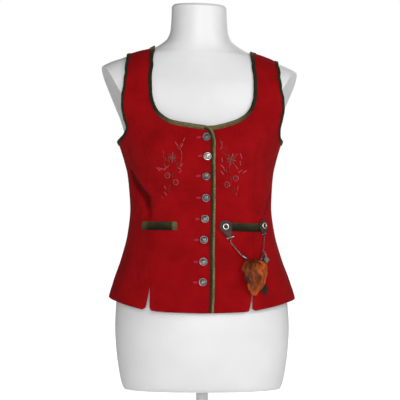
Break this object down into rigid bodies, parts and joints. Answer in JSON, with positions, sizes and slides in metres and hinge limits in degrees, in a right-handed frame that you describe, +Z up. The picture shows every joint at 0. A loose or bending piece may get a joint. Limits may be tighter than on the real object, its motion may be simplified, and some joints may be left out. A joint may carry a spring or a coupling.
{
  "type": "folk-dress vest on a limbless dress form",
  "caption": "Red wool folk-dress vest with velvet bindings, domed buttons, embroidered sprays and a hanging fur charm, worn by a white limbless dress form on a plate stand",
  "frame": {"origin": "on the ground, under the middle of the whole thing's width and depth", "axes": "+Z up, -Y towards the wearer's front, +X towards the wearer's left side"},
  "size_m": [0.3926, 0.29, 0.8848],
  "materials": {
    "red_wool_felt": "fulled wool, matte",
    "olive_velvet": "short-pile velvet",
    "pewter": "worn cast pewter",
    "brown_leather": "smooth, semi-matte",
    "fox_fur": "long soft fur",
    "dark_fur": "coarse dark fur",
    "white_form_shell": "satin glass fibre",
    "white_painted_steel": "satin powder coat",
    "black_plastic": "moulded, matte"
  },
  "bodies": {
    "figure": {"front_right": "red_wool_felt", "front_left": "red_wool_felt", "side_front_right": "red_wool_felt", "side_front_left": "red_wool_felt", "side_back_right": "red_wool_felt", "side_back_left": "red_wool_felt", "back_right": "red_wool_felt", "back_left": "red_wool_felt", "binding_neck": "olive_velvet", "binding_armhole_right": "olive_velvet", "binding_armhole_left": "olive_velvet", "binding_front_edge": "olive_velvet", "welt_right": "olive_velvet", "welt_left": "olive_velvet", "button_1": "pewter", "button_2": "pewter", "button_3": "pewter", "button_4": "pewter", "button_5": "pewter", "button_6": "pewter", "button_7": "pewter", "button_8": "pewter", "tab_inner": "brown_leather", "tab_outer": "brown_leather", "stud_inner": "pewter", "stud_outer": "pewter", "eye_inner": "pewter", "eye_outer": "pewter", "dress_form": "white_form_shell", "stand_base": "white_painted_steel", "stand_pole": "white_painted_steel", "stand_ferrule": "black_plastic"},
    "charm_chain": {"chain_inner": "pewter", "chain_outer": "pewter", "clasp_inner": "pewter", "clasp_outer": "pewter", "fur_tuft": "fox_fur", "dark_tuft": "dark_fur"},
    "pendant": {"pendant": "pewter", "pendant_ring": "pewter"}
  },
  "joints": [
    {"name": "charm_chain_swing", "type": "hinge", "parent": "figure", "child": "charm_chain", "pos_m": [0.06093, -0.09992, 0.41225], "axis": [-0.8924, -0.4413, -0.0938], "range_deg": [0, 75]},
    {"name": "pendant_swing", "type": "hinge", "parent": "charm_chain", "child": "pendant", "pos_m": [0.12796, -0.07955, 0.39365], "axis": [-0.8924, -0.4413, -0.0938], "range_deg": [0, 60]}
  ]
}
